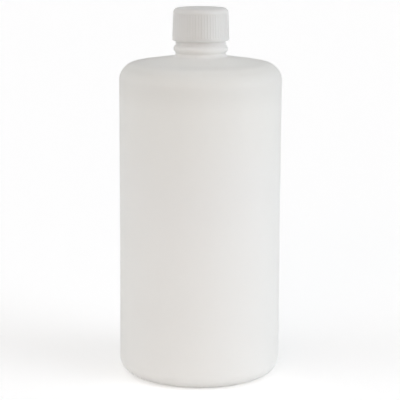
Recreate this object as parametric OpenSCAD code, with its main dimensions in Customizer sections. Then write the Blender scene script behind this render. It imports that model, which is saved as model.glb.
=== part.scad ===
// Narrow-neck plastic bottle: a blown body with a threaded neck, a loose sealing disc and a ribbed screw cap.
// Millimetres, +Z up. The origin is on the axis, in the plane that the bottle stands on.

/* [Body] */
// Outer diameter of the body
body_d = 90; // [70:1:120]
// Height at which the straight side ends and the shoulder begins
side_top_z = 165.2; // [100:0.1:240]
// Outside radius of the heel, where the side turns into the base
heel_r = 8.5; // [6:0.1:14]
// Outside radius of the corner between side and shoulder
corner_r = 9.7; // [6:0.1:16]
// Slope of the shoulder above the corner, in degrees
shoulder_slope = 8.7; // [4:0.1:25]
// Wall of the side and the shoulder
wall = 1.2; // [0.8:0.1:2]
// Thickness of the base
base_wall = 1.6; // [1:0.1:2.4]
// Width of the flat ring that the bottle stands on
ring_w = 3; // [2:0.1:6]
// Height of the dome pushed up inside the ring
push_up = 4; // [2:0.1:7]

/* [Neck] */
// Diameter over the thread, and of the plain neck below the cap
neck_d = 27.5; // [24:0.1:38]
// Wall of the neck
neck_wall = 1.75; // [1.2:0.05:2.2]
// How far the hollow widens where the neck opens into the body
neck_flare = 2.4; // [1:0.1:4]
// Radius of the fillet between shoulder and neck
root_fillet_r = 2; // [1:0.1:2.6]
// Height of the bead's middle above the foot of the neck
bead_rise = 4.05; // [3.8:0.05:8]
// Height of the bead
bead_h = 4; // [3:0.1:5]
// How far the bead stands out of the neck
bead_out = 1.15; // [0.6:0.05:1.5]
// Plain neck left bare between the bead and the cap
rim_gap = 2.65; // [1.5:0.05:5]
// Length of plain neck that reaches up inside the cap
skirt_lap = 1; // [0.6:0.1:1.4]
// Chamfer on the outer edge of the lip
lip_chamfer = 0.4; // [0.2:0.1:0.8]

/* [Thread] */
// Rise of the thread in one turn
thread_pitch = 4.2; // [3.8:0.1:4.6]
// Turns of thread on the neck and in the cap
thread_turns = 1.5; // [1:0.25:1.5]
// Radial height of the thread on the neck
thread_depth = 1.2; // [0.9:0.05:1.3]
// Width of the neck's thread at its foot
thread_base_w = 2.3; // [1.8:0.1:2.5]
// Width of the neck's thread at its crest
thread_crest_w = 1; // [0.6:0.1:1.3]
// Width of the cap's thread at its crest
cap_thread_crest_w = 0.95; // [0.6:0.05:1.2]
// Drop from the lip to the middle of the thread's upper end
thread_drop = 2.3; // [1.6:0.1:2.6]
// Clearance between the neck and the cap, all round
thread_gap = 0.3; // [0.25:0.05:0.4]

/* [Cap] */
// Height of the cap
cap_h = 17.7; // [17:0.1:24]
// Thickness of the cap's top plate
cap_plate = 1.5; // [1:0.1:2.5]
// Wall of the cap's skirt at its foot
skirt_wall = 1.7; // [1.5:0.05:2.5]
// How much smaller the cap's diameter is below its rounded edge than at its foot
cap_taper = 1; // [0.4:0.1:1.2]
// Radius of the cap's rounded top edge
cap_edge_r = 2.5; // [1:0.1:3]
// Chamfer on the outer edge of the cap's foot
foot_chamfer = 0.3; // [0.1:0.05:0.5]
// Number of grip ribs, which is also the number of grooves between them
rib_count = 60; // [36:2:72]
// Depth of the grooves between the ribs
groove_depth = 0.35; // [0.2:0.05:0.45]
// Radius of the grooves between the ribs
groove_r = 0.55; // [0.4:0.05:0.65]
// Height of the smooth rim below the ribs
rim_h = 1.8; // [1:0.1:3]
// Height of the smooth band between the ribs and the rounded top edge
band_h = 0.3; // [0.2:0.1:2]

/* [Seal] */
// Thickness of the sealing disc
disc_t = 1; // [0.6:0.1:1.6]
// Clearance between the disc's edge and the cap's bore
disc_gap = 0.35; // [0.2:0.05:0.6]

/* [Hidden] */
$fn = 120;
// Facets of a thread in one turn
THREAD_STEPS = 36;
// Degrees over which a thread rises from its wall at each end
RUN_OUT = 30;
// Depth of a thread's foot inside its wall, and of its crest at the very tip
BURY = 0.4;
SUNK = 0.1;
// How far a section reaches into the next one, and a cut past the face that it opens
LAP = 0.5;
OVER = 1;
BOTTLE_COLOR = [0.88, 0.88, 0.86];
DISC_COLOR = [0.93, 0.93, 0.92];
CAP_COLOR = [0.84, 0.84, 0.83];

body_r = body_d / 2;
heel_c = [body_r - heel_r, heel_r];
corner_c = [body_r - corner_r, side_top_z];
ring_in_r = heel_c.x - ring_w;
dome_r = (pow(ring_in_r, 2) + pow(push_up, 2)) / (2 * push_up);
dome_c = [0, push_up - dome_r];

neck_r = neck_d / 2;
root_r = neck_r - thread_depth;
mouth_r = root_r - neck_wall;
collar_bore_r = neck_r - neck_wall;
neck_foot_z = cone_z(0, neck_r);
bead_z = neck_foot_z + bead_rise;
cap_foot_z = bead_z + bead_h / 2 + rim_gap;
cap_top_z = cap_foot_z + cap_h;
lip_z = cap_top_z - cap_plate - disc_t;
collar_top_z = cap_foot_z + skirt_lap;
finish_z = collar_top_z + thread_depth;

cap_bore_r = neck_r + thread_gap;
cap_foot_r = cap_bore_r + skirt_wall;
cap_top_r = cap_foot_r - cap_taper / 2;
cap_draft = atan(cap_taper / 2 / (cap_h - cap_edge_r));
cap_thread_r = root_r + thread_gap;
cap_thread_base_w = thread_pitch - thread_base_w;
disc_r = cap_bore_r - disc_gap;
thread_low_z = lip_z - thread_drop - thread_turns * thread_pitch;
cap_thread_low_z = thread_low_z - thread_pitch / 2;

// Point where the corner arc runs into the sloping shoulder, on a skin set in by the given depth
function corner_end(inset) = corner_c + (corner_r - inset) * [sin(shoulder_slope), cos(shoulder_slope)];
// Height of the sloping shoulder at radius x, on the same skin
function cone_z(inset, x) = corner_end(inset).y + (corner_end(inset).x - x) * tan(shoulder_slope);

// Half section of the body and shoulder, set in by the given depth
module body_section(inset) {
    polygon([[0, inset], [heel_c.x, inset], [body_r - inset, heel_c.y], [body_r - inset, corner_c.y],
        corner_end(inset), [0, cone_z(inset, 0)]]);
    intersection() {
        union() {
            translate(heel_c) circle(r = heel_r - inset);
            translate(corner_c) circle(r = corner_r - inset);
        }
        square([body_r, lip_z]);
    }
}

// Fillet between the shoulder and the plain neck
module root_fillet() {
    x = neck_r + root_fillet_r;
    c = [x, cone_z(0, x) + root_fillet_r / cos(shoulder_slope)];
    foot = c - root_fillet_r * [sin(shoulder_slope), cos(shoulder_slope)];
    difference() {
        polygon([[mouth_r, c.y], [neck_r, c.y], c, foot, [foot.x, foot.y - LAP], [mouth_r, foot.y - LAP]]);
        translate(c) circle(r = root_fillet_r);
    }
}

// Half section of the neck: plain collar, chamfer and the cylinder that carries the thread
module neck_section() {
    polygon([[0, neck_foot_z - LAP], [neck_r, neck_foot_z - LAP], [neck_r, collar_top_z],
        [root_r, finish_z], [root_r, lip_z - lip_chamfer], [root_r - lip_chamfer, lip_z], [0, lip_z]]);
}

// Half section of the bead round the neck, an arc that stands out by bead_out over bead_h
module bead_section() {
    arc_r = (pow(bead_h / 2, 2) + pow(bead_out, 2)) / (2 * bead_out);
    intersection() {
        translate([neck_r + bead_out - arc_r, bead_z]) circle(r = arc_r);
        translate([neck_r - LAP, bead_z - bead_h]) square([LAP + bead_out + OVER, 2 * bead_h]);
    }
}

// Everything inside the bottle: the body's hollow above the dome, and the way out through the neck
module cavity_section() {
    difference() {
        body_section(wall);
        square([body_r, base_wall]);
        intersection() {
            translate(dome_c) circle(r = dome_r + base_wall);
            square([body_r, side_top_z]);
        }
    }
    flare_r = collar_bore_r + neck_flare;
    flare_z = cone_z(wall, flare_r);
    polygon([[0, flare_z - OVER], [flare_r, flare_z - OVER], [flare_r, flare_z],
        [collar_bore_r, flare_z + neck_flare], [collar_bore_r, collar_top_z - thread_depth],
        [mouth_r, collar_top_z], [mouth_r, lip_z + OVER], [0, lip_z + OVER]]);
}

// Share of a thread's full height at angle a: 0 at either tip, 1 once the run-out is past
function ramp(a, total) = min(1, min(a, total - a) / RUN_OUT);

// A helical ridge on a wall of radius wall_r, reaching to crest_r, starting at height z
module thread(wall_r, crest_r, z, base_w, crest_w) {
    total = thread_turns * 360;
    steps = round(thread_turns * THREAD_STEPS);
    side = crest_r > wall_r ? 1 : -1;
    points = [
        for (i = [0:steps])
            let (a = total * i / steps, mid = z + thread_pitch * a / 360,
                tip_r = wall_r - side * SUNK + (crest_r - wall_r + side * SUNK) * ramp(a, total))
            for (q = [[wall_r - side * BURY, -base_w / 2], [tip_r, -crest_w / 2],
                [tip_r, crest_w / 2], [wall_r - side * BURY, base_w / 2]])
                [q[0] * cos(a), q[0] * sin(a), mid + q[1]]
    ];
    walls = [
        for (i = [0:steps - 1], k = [0:3])
            let (p = 4 * i + k, q = 4 * i + (k + 1) % 4)
            each side > 0 ? [[p, q, p + 4], [q, q + 4, p + 4]] : [[p, p + 4, q], [q, p + 4, q + 4]]
    ];
    last = 4 * steps;
    ends = side > 0
        ? [[0, 2, 1], [0, 3, 2], [last, last + 1, last + 2], [last, last + 2, last + 3]]
        : [[0, 1, 2], [0, 2, 3], [last, last + 2, last + 1], [last, last + 3, last + 2]];
    polyhedron(points = points, faces = concat(walls, ends));
}

// The blown bottle
module bottle() {
    color(BOTTLE_COLOR) {
        rotate_extrude() difference() {
            union() {
                body_section(0);
                root_fillet();
                neck_section();
                bead_section();
            }
            cavity_section();
            intersection() {
                translate(dome_c) circle(r = dome_r);
                square([body_r, side_top_z]);
            }
        }
        thread(root_r, neck_r, thread_low_z, thread_base_w, thread_crest_w);
    }
}

// The loose disc between the lip and the cap's top plate
module sealing_disc() {
    color(DISC_COLOR) translate([0, 0, lip_z]) cylinder(r = disc_r, h = disc_t);
}

// Half section of the cap: tapered skirt, chamfered foot and rounded top edge
module cap_section() {
    edge_c = [cap_top_r - cap_edge_r / cos(cap_draft), cap_top_z - cap_edge_r];
    skirt_end = edge_c + cap_edge_r * [cos(cap_draft), sin(cap_draft)];
    chamfer_r = cap_foot_r - foot_chamfer * tan(cap_draft);
    difference() {
        union() {
            polygon([[0, cap_foot_z], [cap_foot_r - foot_chamfer, cap_foot_z],
                [chamfer_r, cap_foot_z + foot_chamfer], skirt_end, [edge_c.x, cap_top_z], [0, cap_top_z]]);
            translate(edge_c) circle(r = cap_edge_r);
        }
        translate([0, cap_foot_z - OVER]) square([cap_bore_r, OVER + cap_h - cap_plate]);
    }
}

// The grooves between the grip ribs, leaning in with the skirt
module rib_grooves() {
    start_z = cap_foot_z + rim_h;
    start_r = cap_foot_r - rim_h * tan(cap_draft) + groove_r - groove_depth;
    length = (cap_h - cap_edge_r - rim_h - band_h) / cos(cap_draft);
    for (i = [0:rib_count - 1])
        rotate(i * 360 / rib_count) translate([start_r, 0, start_z]) rotate([0, -cap_draft, 0])
            cylinder(r = groove_r, h = length, $fn = 24);
}

// The screw cap
module screw_cap() {
    color(CAP_COLOR) {
        difference() {
            rotate_extrude() cap_section();
            rib_grooves();
        }
        thread(cap_bore_r, cap_thread_r, cap_thread_low_z, cap_thread_base_w, cap_thread_crest_w);
    }
}

bottle();
sealing_disc();
screw_cap();
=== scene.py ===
"""Looks of the narrow-neck plastic bottle: blown shell, sealing disc, ribbed screw cap and studio."""
import logging
import math
from collections.abc import Callable, Iterable, Sequence
from dataclasses import dataclass
from enum import Enum
from itertools import pairwise

import bmesh
import bpy
from bmesh.types import BMesh, BMVert
from mathutils import Euler, Matrix, Vector


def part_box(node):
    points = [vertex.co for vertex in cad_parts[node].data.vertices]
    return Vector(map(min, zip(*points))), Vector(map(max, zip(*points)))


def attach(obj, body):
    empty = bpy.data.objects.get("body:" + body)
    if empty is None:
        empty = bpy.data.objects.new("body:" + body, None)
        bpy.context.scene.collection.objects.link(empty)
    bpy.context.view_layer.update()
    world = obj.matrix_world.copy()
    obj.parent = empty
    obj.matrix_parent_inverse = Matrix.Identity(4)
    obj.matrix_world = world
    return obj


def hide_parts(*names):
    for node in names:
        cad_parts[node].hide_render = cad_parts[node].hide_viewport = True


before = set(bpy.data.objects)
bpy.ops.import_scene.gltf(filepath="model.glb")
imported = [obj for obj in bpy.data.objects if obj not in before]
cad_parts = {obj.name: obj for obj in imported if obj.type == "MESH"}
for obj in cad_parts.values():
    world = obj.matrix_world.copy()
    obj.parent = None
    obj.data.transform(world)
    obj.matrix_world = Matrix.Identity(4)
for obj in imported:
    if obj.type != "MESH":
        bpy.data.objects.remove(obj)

LOG = logging.getLogger("bottle")
MM = 0.001
# millimetres within which a point counts as lying on a wall, and as the same point
NEAR = 0.01
SAME = 1e-3
WHITE = (1.0, 1.0, 1.0, 1.0)


class Body(Enum):
    """Bodies of the frame that the pieces ride on."""

    BOTTLE = "bottle"
    DISC = "disc"
    CAP = "cap"


def linear(hex_colour: str) -> tuple[float, float, float, float]:
    """Turns an sRGB hex colour into the linear one that shaders use.

    Args:
        hex_colour: colour as six hex digits.

    Returns:
        Linear red, green and blue, with an alpha of 1.
    """
    parts = (int(hex_colour[i:i + 2], 16) / 255 for i in (0, 2, 4))
    return *(p / 12.92 if p <= 0.04045 else ((p + 0.055) / 1.055) ** 2.4 for p in parts), 1.0


def smooth(share: float) -> float:
    """Returns a share of 0 to 1, eased at both ends and held outside them."""
    held = min(max(share, 0.0), 1.0)
    return held * held * (3 - 2 * held)


def add_node(
        tree: bpy.types.NodeTree, kind: str, inputs: dict | None = None, **settings: object,
) -> bpy.types.Node:
    """Adds a node with its settings and links.

    Args:
        tree: node tree that gets the node.
        kind: type of the node.
        inputs: a value or a feeding output for each input, by the input's name or number.
        settings: properties of the node itself.

    Returns:
        The new node.
    """
    node = tree.nodes.new(kind)
    for name, value in settings.items():
        setattr(node, name, value)
    for name, value in (inputs or {}).items():
        if isinstance(value, bpy.types.NodeSocket):
            tree.links.new(value, node.inputs[name])
        else:
            node.inputs[name].default_value = value
    return node


def new_material(name: str) -> tuple[bpy.types.Material, bpy.types.NodeTree]:
    """Makes an empty node material.

    Args:
        name: name of the material.

    Returns:
        The material and its node tree.
    """
    material = bpy.data.materials.new(name)
    material.use_nodes = True
    material.node_tree.nodes.clear()
    return material, material.node_tree


@dataclass(frozen=True)
class Polyethylene:
    """Natural polyethylene without pigment: its crystals scatter light, so it looks like frosted milk glass.

    Attributes:
        name: name of the material.
        colour: the plastic where its wall is thin, which loses a little light to the hollow behind it, and
            also painted shade where a place is lit too brightly.
        dense: the plastic where its wall is thick, and also painted light where a place lies in shade.
        glow: share of the light that a surface lets through, scattered.
        haze_mm: how far light spreads inside the plastic, which softens small shadows.
        roughness: roughness of the skin.
        grain_mm: size of the skin's satin grain.
        grain_depth_mm: depth of that grain.
        cloud_mm: size of the soft clouds of thicker and thinner wall.
        cloud_share: how far the clouds change the blend, between the thin colour at 0 and the thick one at 1.
        wall_and_light_stops: heights in millimetres, each with a share between 0 and 1 of the way from the
            thin colour to the thick one, which follows the wall's real thickness and also holds painted light
            and shade.
        top_roughness: roughness of the skin at the very top of the piece, or None if it is the same there.
        top_from_mm: depth below the top at which the skin begins to change.
        top_full_mm: depth below the top at which it has changed.
        ior: how strongly the plastic bends light.
    """

    name: str
    colour: str
    dense: str
    glow: float
    haze_mm: float
    roughness: float
    grain_mm: float
    grain_depth_mm: float
    cloud_mm: float
    cloud_share: float
    wall_and_light_stops: tuple[tuple[float, float], ...]
    top_roughness: float | None = None
    top_from_mm: float = 2.6
    top_full_mm: float = 0.6
    ior: float = 1.51

    def wall_and_light_tone(
            self, tree: bpy.types.NodeTree, place: bpy.types.NodeSocket, height: bpy.types.NodeSocket,
    ) -> bpy.types.NodeSocket:
        """Adds the nodes that blend from the thin colour to the thick one, after the wall's real thickness
        and after painted light and shade.

        Args:
            tree: the material's node tree.
            place: the place on the piece.
            height: the height of that place.

        Returns:
            A socket that is 0 for the thin colour and 1 for the thick one; besides the wall it holds painted
            light, which lifts shaded places, and painted shade, which damps lit ones.
        """
        low, high = self.wall_and_light_stops[0][0], self.wall_and_light_stops[-1][0]
        share = add_node(tree, "ShaderNodeMapRange", {
            "Value": height, "From Min": low * MM, "From Max": high * MM})
        ramp = add_node(tree, "ShaderNodeValToRGB", {"Fac": share.outputs[0]})
        ramp.color_ramp.interpolation = "EASE"
        stops = ramp.color_ramp.elements
        while len(stops) < len(self.wall_and_light_stops):
            stops.new(0.5)
        # each stop is partly the wall's real thickness and partly painted light or painted shade, set at a
        # height that the lamps leave too dark or too light
        for stop, (z, thick) in zip(stops, self.wall_and_light_stops):
            stop.position = (z - low) / (high - low)
            stop.color = (thick, thick, thick, 1.0)
        clouds = add_node(tree, "ShaderNodeTexNoise", {
            "Vector": place, "Scale": 1 / (self.cloud_mm * MM), "Detail": 2.0, "Roughness": 0.4})
        uneven = add_node(tree, "ShaderNodeMath", {
            0: clouds.outputs["Fac"], 1: self.cloud_share, 2: -self.cloud_share / 2,
        }, operation="MULTIPLY_ADD")
        thick = add_node(tree, "ShaderNodeMath", {
            0: ramp.outputs["Color"], 1: uneven.outputs[0]}, operation="ADD", use_clamp=True)
        return thick.outputs[0]

    def duller_top(self, tree: bpy.types.NodeTree, height: bpy.types.NodeSocket) -> bpy.types.NodeSocket:
        """Adds the node that changes the skin's roughness at the top of the piece.

        Args:
            tree: the material's node tree.
            height: the height of the place on the piece.

        Returns:
            A socket that gives the roughness.
        """
        top_z = self.wall_and_light_stops[-1][0]
        rough = add_node(tree, "ShaderNodeMapRange", {
            "Value": height, "To Min": self.roughness, "To Max": self.top_roughness,
            "From Min": (top_z - self.top_from_mm) * MM, "From Max": (top_z - self.top_full_mm) * MM,
        }, interpolation_type="SMOOTHSTEP")
        return rough.outputs[0]

    def material(self) -> bpy.types.Material:
        """Makes a satin skin over plastic that passes a share of the light.

        Returns:
            The material.
        """
        made, tree = new_material(self.name)
        place = add_node(tree, "ShaderNodeTexCoord").outputs["Object"]
        height = add_node(tree, "ShaderNodeSeparateXYZ", {0: place}).outputs["Z"]
        tone = add_node(tree, "ShaderNodeMix", {
            0: self.wall_and_light_tone(tree, place, height), 6: linear(self.colour), 7: linear(self.dense),
        }, data_type="RGBA")
        # satin of a blasted mould: the eye sees only that the highlights are soft and faintly uneven
        grain = add_node(tree, "ShaderNodeTexNoise", {
            "Vector": place, "Scale": 1 / (self.grain_mm * MM), "Detail": 3.0, "Roughness": 0.55})
        bump = add_node(tree, "ShaderNodeBump", {
            "Height": grain.outputs["Fac"], "Distance": self.grain_depth_mm * MM, "Strength": 1.0})
        skin = add_node(tree, "ShaderNodeBsdfPrincipled", {
            "Base Color": tone.outputs[2], "Roughness": self.roughness, "IOR": self.ior,
            "Normal": bump.outputs["Normal"], "Subsurface Weight": 1.0,
            "Subsurface Radius": (1.0, 1.0, 1.0), "Subsurface Scale": self.haze_mm * MM})
        if self.top_roughness is not None:
            tree.links.new(self.duller_top(tree, height), skin.inputs["Roughness"])
        inside = add_node(tree, "ShaderNodeBsdfTranslucent", {
            "Color": tone.outputs[2], "Normal": bump.outputs["Normal"]})
        both = add_node(tree, "ShaderNodeMixShader", {0: self.glow, 1: skin.outputs[0], 2: inside.outputs[0]})
        add_node(tree, "ShaderNodeOutputMaterial", {"Surface": both.outputs[0]})
        return made


@dataclass(frozen=True)
class FoamSkin:
    """Foamed polyethylene with a closed skin: chalky white, with fine cells just under the surface.

    Attributes:
        name: name of the material.
        colour: the skin over the walls of the cells.
        cell: the skin over the cells.
        cell_mm: size of a cell.
        dimple_mm: depth to which the skin sinks in over a cell.
        roughness: roughness of the skin.
        ior: how strongly the skin bends light.
    """

    name: str
    colour: str
    cell: str
    cell_mm: float
    dimple_mm: float
    roughness: float = 0.62
    ior: float = 1.49

    def material(self) -> bpy.types.Material:
        """Makes a dull skin with the cells as faint spots and dimples.

        Returns:
            The material.
        """
        made, tree = new_material(self.name)
        place = add_node(tree, "ShaderNodeTexCoord").outputs["Object"]
        cells = add_node(tree, "ShaderNodeTexVoronoi", {"Vector": place, "Scale": 1 / (self.cell_mm * MM)})
        tone = add_node(tree, "ShaderNodeMix", {
            0: cells.outputs["Distance"], 6: linear(self.cell), 7: linear(self.colour)}, data_type="RGBA")
        bump = add_node(tree, "ShaderNodeBump", {
            "Height": cells.outputs["Distance"], "Distance": self.dimple_mm * MM, "Strength": 1.0})
        skin = add_node(tree, "ShaderNodeBsdfPrincipled", {
            "Base Color": tone.outputs[2], "Roughness": self.roughness, "IOR": self.ior,
            "Normal": bump.outputs["Normal"]})
        add_node(tree, "ShaderNodeOutputMaterial", {"Surface": skin.outputs[0]})
        return made


# a blown wall is thick at the base and round the neck, where the eye sees it whiter, and thin at the corner;
# the stops are only partly that wall: they also hold painted light, whiter towards the base where light from
# the floor falls and on the shoulder at the neck's foot and the bare neck under the cap where shade falls,
# and painted shade, greyer on the lit corner band, fillet and bead
BLOWN_POLYETHYLENE = Polyethylene(
    name="natural_polyethylene_blown_satin",
    colour="F0F0EE", dense="FDFDFB", glow=0.45, haze_mm=1.0, roughness=0.5,
    grain_mm=0.35, grain_depth_mm=0.012, cloud_mm=38.0, cloud_share=0.2,
    # stops of the wall's thickness together with painted light and painted shade
    wall_and_light_stops=((0.0, 1.0), (9.0, 1.0), (40.0, 0.85), (150.0, 0.42), (164.0, 0.1), (171.5, 0.0), (175.0, 0.5),
           (176.6, 1.0), (177.8, 1.0), (178.8, 0.5), (181.0, 0.45), (182.4, 0.3), (184.2, 1.0), (187.0, 1.0)))
# a moulded wall is even, and the eye sees its top plate duller, as it came off a rougher face of the mould
MOULDED_POLYETHYLENE = Polyethylene(
    name="natural_polyethylene_moulded_cap",
    colour="CACAC8", dense="CECECC", glow=0.0, haze_mm=1.5, roughness=0.28, top_roughness=0.62,
    grain_mm=0.30, grain_depth_mm=0.008, cloud_mm=14.0, cloud_share=0.6,
    wall_and_light_stops=((187.0, 0.5), (204.7, 0.5)))
# the cells show as faint grey spots with a dimple over each
FOAM_SKIN = FoamSkin(
    name="polyethylene_foam_skin_disc", colour="EFEFED", cell="E6E6E3", cell_mm=0.45, dimple_mm=0.05)


@dataclass(frozen=True)
class Corner:
    """A corner of a half section, in millimetres.

    Attributes:
        r: distance from the axis.
        z: height.
        round_r: radius that rounds the corner, or 0 to leave it sharp.
        segments: edges of the rounding.
    """

    r: float
    z: float
    round_r: float = 0.0
    segments: int = 4


class HalfSection:
    """A half section in the XZ plane, in millimetres, which is rounded, cut into rows and spun about Z."""

    def __init__(self, corners: Sequence[Corner]) -> None:
        """Draws the straight edges and rounds the corners.

        Args:
            corners: the corners in order.
        """
        self.mesh: BMesh = bmesh.new()
        verts = [self.mesh.verts.new((c.r, 0.0, c.z)) for c in corners]
        for a, b in pairwise(verts):
            self.mesh.edges.new((a, b))
        for vert, corner in zip(verts, corners):
            if corner.round_r:
                self._round(vert, corner)

    def _round(self, vert: BMVert, corner: Corner) -> None:
        """Rounds one corner.

        Args:
            vert: the corner's vertex.
            corner: the corner itself.
        """
        a, b = (edge.other_vert(vert).co - vert.co for edge in vert.link_edges)
        reach = corner.round_r * math.tan((math.pi - a.angle(b)) / 2)
        bmesh.ops.bevel(
            self.mesh, geom=[vert], offset=reach, offset_type="OFFSET", segments=corner.segments, profile=0.5,
            affect="VERTICES", material=-1)

    def cut_rows(self, longest: float, low_z: float = -math.inf, high_z: float = math.inf) -> None:
        """Cuts long edges between two heights.

        Args:
            longest: longest edge that stays whole.
            low_z: lowest height of the edges that are cut.
            high_z: highest height of the edges that are cut.
        """
        for edge in list(self.mesh.edges):
            if all(low_z - SAME <= v.co.z <= high_z + SAME for v in edge.verts):
                cuts = math.ceil(edge.calc_length() / longest - SAME) - 1
                if cuts > 0:
                    bmesh.ops.subdivide_edges(self.mesh, edges=[edge], cuts=cuts)

    def shape(self, move: Callable[[Vector], None]) -> None:
        """Moves the section's points before the spin.

        Args:
            move: changes the place of one point.
        """
        for vert in self.mesh.verts:
            move(vert.co)

    def spin(self, steps: int) -> BMesh:
        """Spins the section into a closed shell.

        Args:
            steps: columns round the axis.

        Returns:
            The shell, in millimetres, with its faces pointing outwards.
        """
        bmesh.ops.spin(
            self.mesh, geom=self.mesh.verts[:] + self.mesh.edges[:], cent=(0, 0, 0), axis=(0, 0, 1),
            angle=math.tau, steps=steps, use_merge=True)
        bmesh.ops.remove_doubles(self.mesh, verts=self.mesh.verts[:], dist=SAME)
        bmesh.ops.recalc_face_normals(self.mesh, faces=self.mesh.faces[:])
        return self.mesh


def add_piece(name: str, mesh: BMesh, material: bpy.types.Material, body: Body) -> bpy.types.Object:
    """Makes an object of a mesh in millimetres and hands it to the frame.

    Args:
        name: name of the piece, which is also its node's name and its mesh's name.
        mesh: the mesh, which is freed.
        material: the finish.
        body: body that the piece rides on.

    Returns:
        The new object.
    """
    bmesh.ops.scale(mesh, vec=(MM, MM, MM), verts=mesh.verts[:])
    for face in mesh.faces:
        face.smooth = True
    data = bpy.data.meshes.new(name)
    mesh.to_mesh(data)
    mesh.free()
    data.materials.append(material)
    piece = bpy.data.objects.new(f"{name}_shell", data)
    bpy.context.scene.collection.objects.link(piece)
    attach(piece, body.value)
    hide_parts(name)
    LOG.info("%s: %d faces", piece.name, len(data.polygons))
    return piece


@dataclass(frozen=True)
class Thread:
    """A helical ridge on a round wall, in millimetres and degrees.

    Attributes:
        wall_r: radius of the wall.
        crest_r: radius of the ridge's crest.
        low_z: height of the ridge's middle where it starts, at angle 0.
        base_w: width of the ridge at the wall.
        crest_w: width of the ridge at its crest.
        pitch: rise of the ridge in one turn.
        turns: number of turns.
        run_out: angle over which the ridge rises from the wall at each end.
    """

    wall_r: float
    crest_r: float
    low_z: float
    base_w: float
    crest_w: float
    pitch: float = 4.2
    turns: float = 1.5
    run_out: float = 30.0

    def height(self, angle: float, z: float) -> float:
        """Works out how far the ridge stands off the wall towards its crest.

        Args:
            angle: angle round the axis, from 0 to 360 degrees.
            z: height.

        Returns:
            The height of the ridge there, negative where its crest lies inside the wall.
        """
        total = self.turns * 360
        flank = (self.base_w - self.crest_w) / 2
        share = 0.0
        while angle <= total:
            off = abs(z - self.low_z - self.pitch * angle / 360)
            ramp = min(angle, total - angle) / self.run_out
            share = max(share, smooth((self.base_w / 2 - off) / flank) * smooth(ramp))
            angle += 360
        return (self.crest_r - self.wall_r) * share

    def raise_ridge(self, verts: Iterable[BMVert]) -> None:
        """Moves the points of the wall out to the ridge.

        Args:
            verts: points that may lie on the wall.
        """
        for vert in verts:
            radius = vert.co.xy.length
            if abs(radius - self.wall_r) < NEAR:
                angle = math.degrees(math.atan2(vert.co.y, vert.co.x)) % 360
                vert.co.xy *= (radius + self.height(angle, vert.co.z)) / radius


@dataclass
class Neck:
    """The neck that the bottle and its cap share, in millimetres.

    Attributes:
        r: radius over the thread and of the plain neck below the cap.
        wall: wall of the neck.
        thread_depth: radial height of the thread.
        thread_base_w: width of the neck's thread at its foot.
        thread_crest_w: width of the neck's thread at its crest.
        cap_crest_w: width of the cap's thread at its crest.
        bead_h: height of the bead.
        bead_out: how far the bead stands out of the neck.
        rim_gap: plain neck left bare between the bead and the cap.
        lap: length of plain neck that reaches up inside the cap.
        gap: clearance between the neck and the cap.
        drop: drop from the lip to the middle of the thread's upper end.
        lip_z: height of the lip.
        cap_foot_z: height of the cap's foot.
    """

    r: float = 13.75
    wall: float = 1.75
    thread_depth: float = 1.2
    thread_base_w: float = 2.3
    thread_crest_w: float = 1.0
    cap_crest_w: float = 0.95
    bead_h: float = 4.0
    bead_out: float = 1.15
    rim_gap: float = 2.65
    lap: float = 1.0
    gap: float = 0.3
    drop: float = 2.3
    lip_z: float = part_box("bottle")[1].z / MM
    cap_foot_z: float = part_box("screw_cap")[0].z / MM

    def __post_init__(self) -> None:
        """Works out the heights and radii that follow from the driving sizes."""
        self.root_r: float = self.r - self.thread_depth
        self.mouth_r: float = self.root_r - self.wall
        self.collar_bore_r: float = self.r - self.wall
        self.collar_top_z: float = self.cap_foot_z + self.lap
        self.finish_z: float = self.collar_top_z + self.thread_depth
        self.bead_z: float = self.cap_foot_z - self.rim_gap - self.bead_h / 2
        self.bead_arc_r: float = ((self.bead_h / 2) ** 2 + self.bead_out ** 2) / (2 * self.bead_out)

    def thread(self) -> Thread:
        """Returns the ridge on the neck."""
        low_z = self.lip_z - self.drop - Thread.turns * Thread.pitch
        return Thread(self.root_r, self.r, low_z, self.thread_base_w, self.thread_crest_w)

    def cap_thread(self) -> Thread:
        """Returns the ridge in the cap, which lies half a pitch below the one on the neck."""
        neck = self.thread()
        return Thread(
            self.r + self.gap, self.root_r + self.gap, neck.low_z - neck.pitch / 2,
            neck.pitch - neck.base_w, self.cap_crest_w)


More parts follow.
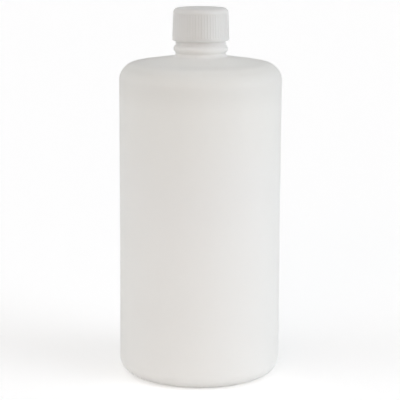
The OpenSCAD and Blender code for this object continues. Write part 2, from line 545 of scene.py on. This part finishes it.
@dataclass
class Bottle:
    """The blown bottle, one shell from the pushed-up base to the lip, in millimetres.

    Attributes:
        neck: the neck on top.
        r: outer radius of the body at its widest, over the parting line.
        heel_r: outside radius of the heel.
        side_top_z: height at which the straight side ends.
        corner_r: outside radius of the corner between side and shoulder.
        shoulder_slope: slope of the shoulder, in degrees.
        wall: wall of the side and the shoulder.
        base_wall: thickness of the base.
        ring_w: width of the ring that the bottle stands on.
        push_up: height of the dome inside the ring.
        fillet_r: radius of the fillet between shoulder and neck.
        flare: how far the hollow widens where the neck opens into the body.
        waist: how far the side sinks in at mid height as it cools.
        taper: how much smaller the side's radius is at its top than at its foot.
        ridge: height of the parting line, where the halves of the mould met.
        ridge_w: half the width of the parting line.
        pinch: height of the pinch-off line across the base, where the mould closed the tube of plastic.
        pinch_w: half the width of the pinch-off line.
        pinch_reach: half the length of the pinch-off line.
        pinch_fade: length over which that line fades at each end.
        finish_round: rounding of the finish's outer edges.
        mouth_round: rounding of the lip's inner edge.
        bore_round: rounding of the step in the neck's bore.
        flare_round: rounding at both ends of the flare.
        foot_clear: height below which the parting line isn't drawn.
        lip_clear: depth below the lip down to which it isn't drawn either.
        pole_r: radius round the axis that it leaves out.
        columns: columns of faces round the axis.
        outer_arc: edges of the large roundings outside.
        inner_arc: edges of the large roundings inside.
        fillet_arc: edges of the fillet below the neck.
        thread_row: longest row of faces along the thread.
        bead_row: longest row on the bead.
        base_row: longest row on the base.
        body_row: longest row elsewhere.
    """

    neck: Neck
    r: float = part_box("bottle")[1].x / MM
    heel_r: float = 8.5
    side_top_z: float = 165.2
    corner_r: float = 9.7
    shoulder_slope: float = 8.7
    wall: float = 1.2
    base_wall: float = 1.6
    ring_w: float = 3.0
    push_up: float = 4.0
    fillet_r: float = 2.0
    flare: float = 2.4
    waist: float = 0.15
    taper: float = 0.06
    ridge: float = 0.06
    ridge_w: float = 0.3
    pinch: float = 0.5
    pinch_w: float = 0.7
    pinch_reach: float = 27.0
    pinch_fade: float = 4.0
    finish_round: float = 0.4
    mouth_round: float = 0.3
    bore_round: float = 0.6
    flare_round: float = 2.0
    foot_clear: float = 0.3
    lip_clear: float = 0.5
    pole_r: float = 1.0
    columns: int = 192
    outer_arc: int = 16
    inner_arc: int = 10
    fillet_arc: int = 8
    thread_row: float = 0.16
    bead_row: float = 0.2
    base_row: float = 2.5
    body_row: float = 5.0

    @property
    def ring_in_r(self) -> float:
        """Returns the inner radius of the ring that the bottle stands on."""
        return self.r - self.heel_r - self.ring_w

    def shoulder_z(self, radius: float, inset: float = 0.0) -> float:
        """Works out the height of the sloping shoulder.

        Args:
            radius: distance from the axis.
            inset: depth below the outer skin.

        Returns:
            The height at that radius, on the skin at that depth.
        """
        slope = math.radians(self.shoulder_slope)
        end_r = self.r - self.corner_r + (self.corner_r - inset) * math.sin(slope)
        end_z = self.side_top_z + (self.corner_r - inset) * math.cos(slope)
        return end_z + (end_r - radius) * math.tan(slope)

    def section(self) -> HalfSection:
        """Draws the half section: up the outside from the base to the lip, and down the inside.

        Returns:
            The section, cut into rows and curved.
        """
        neck = self.neck
        skin_r, inner_r = self.r - self.ridge, self.r - self.wall
        bead_low_z, bead_high_z = neck.bead_z - neck.bead_h / 2, neck.bead_z + neck.bead_h / 2
        flare_r = neck.collar_bore_r + self.flare
        flare_z = self.shoulder_z(flare_r, self.wall)
        section = HalfSection([
            Corner(0, 0),
            Corner(self.ring_in_r, 0),
            Corner(skin_r, 0, self.heel_r, self.outer_arc),
            Corner(skin_r, self.shoulder_z(skin_r), self.corner_r, self.outer_arc),
            Corner(neck.r, self.shoulder_z(neck.r), self.fillet_r, self.fillet_arc),
            Corner(neck.r, bead_low_z),
            Corner(neck.r, bead_high_z),
            Corner(neck.r, neck.collar_top_z, self.finish_round),
            Corner(neck.root_r, neck.finish_z, self.finish_round),
            Corner(neck.root_r, neck.lip_z, self.finish_round),
            Corner(neck.mouth_r, neck.lip_z, self.mouth_round),
            Corner(neck.mouth_r, neck.collar_top_z, self.bore_round),
            Corner(neck.collar_bore_r, neck.collar_top_z - neck.thread_depth, self.bore_round),
            Corner(neck.collar_bore_r, flare_z + self.flare, self.flare_round),
            Corner(flare_r, flare_z, self.flare_round),
            Corner(inner_r, self.shoulder_z(inner_r, self.wall), self.corner_r - self.wall, self.inner_arc),
            Corner(inner_r, self.base_wall, self.heel_r - self.base_wall, self.inner_arc),
            Corner(self.ring_in_r, self.base_wall),
            Corner(0, self.base_wall),
        ])
        section.cut_rows(self.thread_row, neck.finish_z, neck.lip_z)
        section.cut_rows(self.bead_row, bead_low_z, bead_high_z)
        section.cut_rows(self.base_row, high_z=self.base_wall)
        section.cut_rows(self.body_row)
        section.shape(self.curve)
        return section

    def curve(self, point: Vector) -> None:
        """Moves a point of the section onto the dome, the bead or the slightly sunken side.

        Args:
            point: the point, whose place changes.
        """
        if point.z <= self.base_wall + NEAR and point.x < self.ring_in_r:
            point.z += self.push_up * (1 - (point.x / self.ring_in_r) ** 2)
        off = abs(point.z - self.neck.bead_z)
        if off < self.neck.bead_h / 2 and abs(point.x - self.neck.r) < NEAR:
            arc_r = self.neck.bead_arc_r
            point.x += math.sqrt(arc_r ** 2 - off ** 2) - arc_r + self.neck.bead_out
        if point.x > self.r - self.corner_r - self.wall:
            share = (point.z - self.heel_r) / (self.side_top_z - self.heel_r)
            held = min(max(share, 0.0), 1.0)
            point.x -= self.taper * held + self.waist * math.sin(math.pi * held) ** 2

    def is_outside(self, vert: BMVert) -> bool:
        """Tells whether a point lies on the outer skin, clear of the standing ring and of the lip.

        Args:
            vert: the point, with its normal.

        Returns:
            Whether the skin there faces away from the hollow.
        """
        if not self.foot_clear < vert.co.z < self.neck.lip_z - self.lip_clear:
            return False
        core_z = min(max(vert.co.z, self.heel_r), self.side_top_z)
        if vert.co.z > self.shoulder_z(self.neck.r):
            core_z = vert.co.z
        return vert.normal.dot(vert.co - Vector((0, 0, core_z))) > 0

    def is_on_dome(self, vert: BMVert) -> bool:
        """Returns whether a point lies on the dome, apart from the top of the dome's inner face."""
        return vert.co.xy.length < self.ring_in_r and vert.co.z < self.push_up + self.base_wall / 2

    def raise_mould_lines(self, mesh: BMesh) -> None:
        """Draws the parting line up both sides and the pinch-off line across the dome.

        Args:
            mesh: the spun shell.
        """
        step = math.tau / self.columns
        on_line = []
        for vert in mesh.verts:
            radius = vert.co.xy.length
            angle = math.atan2(vert.co.y, abs(vert.co.x))
            column = round(angle / step)
            if column == 0 and radius > self.pole_r:
                on_line.append(vert)
            elif abs(column) == 1:
                side = math.copysign(1.0, vert.co.x)
                turned = math.copysign(min(self.ridge_w / radius, step), angle)
                vert.co.xy = side * radius * math.cos(turned), radius * math.sin(turned)
        mesh.normal_update()
        for vert in on_line:
            if self.is_outside(vert) and not self.is_on_dome(vert):
                vert.co += vert.normal * self.ridge
        for vert in mesh.verts:
            if self.is_on_dome(vert) and vert.normal.z < 0:
                across = smooth(2 * (1 - abs(vert.co.y) / self.pinch_w))
                along = smooth((self.pinch_reach - vert.co.xy.length) / self.pinch_fade)
                vert.co.z -= self.pinch * across * along

    def build(self) -> bpy.types.Object:
        """Builds the bottle.

        Returns:
            The finished piece.
        """
        mesh = self.section().spin(self.columns)
        self.neck.thread().raise_ridge(mesh.verts)
        self.raise_mould_lines(mesh)
        return add_piece("bottle", mesh, BLOWN_POLYETHYLENE.material(), Body.BOTTLE)


@dataclass
class SealingDisc:
    """The loose foam disc between the lip and the cap's top plate, in millimetres.

    Attributes:
        r: radius of the disc.
        low_z: height of its lower face.
        high_z: height of its upper face.
        edge_r: rounding of its cut edge.
        row: longest row of faces across it.
        columns: columns of faces round the axis.
    """

    r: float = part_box("sealing_disc")[1].x / MM
    low_z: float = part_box("sealing_disc")[0].z / MM
    high_z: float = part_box("sealing_disc")[1].z / MM
    edge_r: float = 0.15
    row: float = 1.5
    columns: int = 128

    def build(self) -> bpy.types.Object:
        """Builds the disc.

        Returns:
            The finished piece.
        """
        section = HalfSection([
            Corner(0, self.low_z), Corner(self.r, self.low_z, self.edge_r),
            Corner(self.r, self.high_z, self.edge_r), Corner(0, self.high_z)])
        section.cut_rows(self.row)
        return add_piece("sealing_disc", section.spin(self.columns), FOAM_SKIN.material(), Body.DISC)


@dataclass
class ScrewCap:
    """The moulded screw cap, one piece with its ribs and its thread, in millimetres.

    Attributes:
        neck: the neck that the cap fits.
        foot_r: outer radius at the foot.
        foot_z: height of the foot.
        top_z: height of the top.
        plate: thickness of the top plate.
        taper: how much smaller the radius is below the rounded edge than at the foot.
        edge_r: radius of the rounded top edge.
        foot_round: rounding of the foot's outer edge.
        rim_h: height of the smooth rim below the ribs.
        band_h: height of the smooth band between the ribs and the rounded edge.
        ribs: number of grip ribs.
        groove_depth: depth of the grooves between the ribs.
        groove_w: width of a groove.
        groove_steep: steepness of a groove's sides, which above 1 leaves a flat floor.
        groove_end: length over which a groove rises to the surface at each end.
        gate_r: radius of the mark that the moulding gate left on top.
        gate_depth: depth of that mark.
        gate_slope: width of the slope round that mark.
        gate_round: rounding at both ends of that slope.
        bore_round: rounding of the foot's inner edge.
        corner_round: rounding between the skirt and the top plate, inside.
        columns_per_rib: columns of faces for one rib and one groove.
        edge_arc: edges of the rounded top edge.
        small_arc: edges of the small roundings.
        row: longest row of faces along the grooves and the thread.
    """

    neck: Neck
    foot_r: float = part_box("screw_cap")[1].x / MM
    foot_z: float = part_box("screw_cap")[0].z / MM
    top_z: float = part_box("screw_cap")[1].z / MM
    plate: float = 1.5
    taper: float = 0.5
    edge_r: float = 2.5
    foot_round: float = 0.3
    rim_h: float = 1.8
    band_h: float = 0.3
    ribs: int = 60
    groove_depth: float = 0.11
    groove_w: float = 1.1
    groove_steep: float = 1.35
    groove_end: float = 0.6
    gate_r: float = 1.4
    gate_depth: float = 0.25
    gate_slope: float = 0.4
    gate_round: float = 0.2
    bore_round: float = 0.25
    corner_round: float = 0.3
    columns_per_rib: int = 10
    edge_arc: int = 10
    small_arc: int = 3
    row: float = 0.2

    def section(self) -> HalfSection:
        """Draws the half section: out over the top plate, down the skirt, and back in under them.

        Returns:
            The section, cut into rows along the grooves.
        """
        bore_r = self.neck.r + self.neck.gap
        inner_top_z = self.top_z - self.plate
        draft = self.taper / (self.top_z - self.edge_r - self.foot_z)
        top_r = self.foot_r - draft * (self.top_z - self.foot_z)
        grooves = self.groove_zone()
        section = HalfSection([
            Corner(0, self.top_z - self.gate_depth),
            Corner(self.gate_r, self.top_z - self.gate_depth, self.gate_round),
            Corner(self.gate_r + self.gate_slope, self.top_z, self.gate_round),
            Corner(top_r, self.top_z, self.edge_r, self.edge_arc),
            *(Corner(self.foot_r - draft * (z - self.foot_z), z) for z in reversed(grooves)),
            Corner(self.foot_r, self.foot_z, self.foot_round, self.small_arc),
            Corner(bore_r, self.foot_z, self.bore_round, self.small_arc),
            Corner(bore_r, inner_top_z, self.corner_round, self.small_arc),
            Corner(0, inner_top_z),
        ])
        section.cut_rows(self.row, *grooves[:2])
        section.cut_rows(self.row, *grooves[2:])
        return section

    def groove_zone(self) -> list[float]:
        """Returns the heights at which a groove starts, is at its full depth, leaves it and ends."""
        low, high = self.foot_z + self.rim_h, self.top_z - self.edge_r - self.band_h
        return [low, low + self.groove_end, high - self.groove_end, high]

    def cut_grooves(self, mesh: BMesh) -> None:
        """Presses the grooves between the ribs into the skirt.

        Args:
            mesh: the spun cap.
        """
        low, *_, high = self.groove_zone()
        pitch = math.tau / self.ribs
        for vert in mesh.verts:
            radius = vert.co.xy.length
            if low <= vert.co.z <= high and radius > self.foot_r - self.taper - self.groove_depth:
                turn = math.atan2(vert.co.y, vert.co.x) / pitch
                off = abs(turn - round(turn)) * pitch * radius
                across = smooth(self.groove_steep * (1 - 2 * off / self.groove_w))
                along = smooth(min(vert.co.z - low, high - vert.co.z) / self.groove_end)
                vert.co.xy *= 1 - self.groove_depth * across * along / radius

    def build(self) -> bpy.types.Object:
        """Builds the cap.

        Returns:
            The finished piece.
        """
        thread = self.neck.cap_thread()
        section = self.section()
        section.cut_rows(self.row, thread.low_z - thread.base_w, self.neck.lip_z)
        mesh = section.spin(self.ribs * self.columns_per_rib)
        self.cut_grooves(mesh)
        thread.raise_ridge(mesh.verts)
        return add_piece("screw_cap", mesh, MOULDED_POLYETHYLENE.material(), Body.CAP)


@dataclass(frozen=True)
class SoftLight:
    """A wide and distant light, as even over the floor as a big diffuser.

    Attributes:
        name: name of the light.
        towards: direction from the bottle to the light.
        level: brightness that it gives a white card that faces it.
        spread: angle across the light, in degrees.
        colour: colour of the light.
    """

    name: str
    towards: tuple[float, float, float]
    level: float
    spread: float
    colour: str = "FFFFFF"

    def build(self) -> None:
        """Hangs the light."""
        data = bpy.data.lights.new(self.name, "SUN")
        data.energy = self.level * math.pi
        data.angle = math.radians(self.spread)
        data.color = linear(self.colour)[:3]
        light = bpy.data.objects.new(self.name, data)
        light.rotation_euler = Vector(self.towards).to_track_quat("Z", "Y").to_euler()
        bpy.context.scene.collection.objects.link(light)


@dataclass
class Studio:
    """The pale floor, the soft lights and the camera, in metres.

    Attributes:
        floor_half: half the side of the floor.
        floor_colour: the matt paper of the floor.
        floor_fibres: fibres of that paper along a metre, drawn coarse enough to show.
        floor_grain_mm: depth of their grain.
        floor_lift: light that the floor adds only where it is seen directly, so that it reads white.
        sky: strength of the pale surroundings as a light.
        sky_sides: how much stronger they are straight to the left and the right.
        lights: the soft lights.
        camera_at: place of the camera.
        pitch: angle by which the camera looks down, in degrees.
        roll: angle by which the camera leans, in degrees.
        focal_px: focal length in pixels of the frame.
        frame_px: width and height of the frame in pixels.
        sensor_mm: width of the camera's sensor.
        clip: nearest and farthest thing that the camera sees.
    """

    floor_half: float = 12.0
    floor_colour: str = "FAFAFA"
    floor_fibres: float = 900.0
    floor_grain_mm: float = 0.05
    floor_lift: float = 0.26
    sky: float = 0.05
    sky_sides: float = 0.84
    lights: tuple[SoftLight, ...] = (
        SoftLight("window_right", (0.904, -0.422, 0.07), 0.82, 50.0, "F3F8FF"),
        SoftLight("window_left", (-0.937, -0.341, 0.07), 0.31, 50.0, "F6FAFF"),
        SoftLight("front_low", (-0.258, -0.964, 0.07), 0.285, 50.0, "FFE0CA"),
        SoftLight("overhead", (-0.089, -0.243, 0.966), 0.19, 60.0, "FFFFFF"),
    )
    camera_at: tuple[float, float, float] = (0.0, -0.907, 0.2743)
    pitch: float = 11.03
    roll: float = 0.27
    focal_px: float = 1651.4
    frame_px: int = 400
    sensor_mm: float = 36.0
    clip: tuple[float, float] = (0.05, 60.0)

    @staticmethod
    def seen_directly(tree: bpy.types.NodeTree) -> bpy.types.NodeSocket:
        """Adds the nodes that tell what is seen from what only lights the bottle.

        A ray that a milky wall scatters is both a transmission ray and a diffuse one, and counts as light.

        Args:
            tree: the node tree.

        Returns:
            A socket that is 1 for rays from the eye or from gloss and glass, and 0 for scattered light.
        """
        path = add_node(tree, "ShaderNodeLightPath").outputs
        mirror = add_node(tree, "ShaderNodeMath", {
            0: path["Is Glossy Ray"], 1: path["Is Transmission Ray"]}, operation="MAXIMUM")
        clear = add_node(tree, "ShaderNodeMath", {
            0: mirror.outputs[0], 1: path["Is Diffuse Ray"]}, operation="SUBTRACT", use_clamp=True)
        seen = add_node(tree, "ShaderNodeMath", {
            0: path["Is Camera Ray"], 1: clear.outputs[0]}, operation="MAXIMUM")
        return seen.outputs[0]

    def build_floor(self) -> None:
        """Lays the floor of matt paper, on which the eye sees an even white and a soft shadow."""
        mesh = bmesh.new()
        bmesh.ops.create_grid(mesh, x_segments=1, y_segments=1, size=self.floor_half)
        data = bpy.data.meshes.new("floor")
        mesh.to_mesh(data)
        mesh.free()
        material, tree = new_material("matt_white_studio_paper")
        place = add_node(tree, "ShaderNodeTexCoord").outputs["Object"]
        fibres = add_node(tree, "ShaderNodeTexNoise", {
            "Vector": place, "Scale": self.floor_fibres, "Detail": 2.0})
        bump = add_node(tree, "ShaderNodeBump", {
            "Height": fibres.outputs["Fac"], "Distance": self.floor_grain_mm * MM})
        paper = add_node(tree, "ShaderNodeBsdfDiffuse", {
            "Color": linear(self.floor_colour), "Normal": bump.outputs["Normal"]})
        lift = add_node(tree, "ShaderNodeMath", {
            0: self.seen_directly(tree), 1: self.floor_lift}, operation="MULTIPLY")
        glow = add_node(tree, "ShaderNodeEmission", {"Color": WHITE, "Strength": lift.outputs[0]})
        both = add_node(tree, "ShaderNodeAddShader", {0: paper.outputs[0], 1: glow.outputs[0]})
        add_node(tree, "ShaderNodeOutputMaterial", {"Surface": both.outputs[0]})
        data.materials.append(material)
        floor = bpy.data.objects.new("floor", data)
        bpy.context.scene.collection.objects.link(floor)

    def build_world(self) -> None:
        """Sets the pale surroundings."""
        world = bpy.data.worlds.new("pale_studio")
        world.use_nodes = True
        tree = world.node_tree
        tree.nodes.clear()
        towards = add_node(tree, "ShaderNodeTexCoord").outputs["Generated"]
        parts = add_node(tree, "ShaderNodeSeparateXYZ", {0: towards}).outputs
        side = add_node(tree, "ShaderNodeMath", {0: parts["X"]}, operation="ABSOLUTE")
        light = add_node(tree, "ShaderNodeMath", {
            0: side.outputs[0], 1: self.sky_sides, 2: self.sky}, operation="MULTIPLY_ADD")
        strength = add_node(tree, "ShaderNodeMix", {0: self.seen_directly(tree), 2: light.outputs[0], 3: 1.0})
        glow = add_node(tree, "ShaderNodeBackground", {"Color": WHITE, "Strength": strength.outputs[0]})
        add_node(tree, "ShaderNodeOutputWorld", {"Surface": glow.outputs[0]})
        bpy.context.scene.world = world

    def build_camera(self) -> None:
        """Places the camera at the photograph's angle."""
        data = bpy.data.cameras.new("camera")
        data.sensor_width = self.sensor_mm
        data.lens = self.focal_px * self.sensor_mm / self.frame_px
        data.clip_start, data.clip_end = self.clip
        camera = bpy.data.objects.new("camera", data)
        lean = Matrix.Rotation(math.radians(self.roll), 3, "Z")
        turn = Euler((math.radians(90 - self.pitch), 0, 0)).to_matrix() @ lean
        camera.matrix_world = Matrix.Translation(self.camera_at) @ turn.to_4x4()
        bpy.context.scene.collection.objects.link(camera)
        bpy.context.scene.camera = camera

    def build(self) -> None:
        """Builds the whole studio."""
        self.build_floor()
        self.build_world()
        for light in self.lights:
            light.build()
        self.build_camera()
        bpy.context.scene.view_settings.view_transform = "Standard"
        LOG.info("studio: camera at %s", self.camera_at)


def main() -> None:
    """Builds the pieces in order, then the studio."""
    logging.basicConfig(level=logging.INFO, format="%(message)s")
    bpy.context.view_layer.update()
    neck = Neck()
    Bottle(neck).build()
    SealingDisc().build()
    ScrewCap(neck).build()
    Studio().build()


if __name__ == "__main__":
    main()
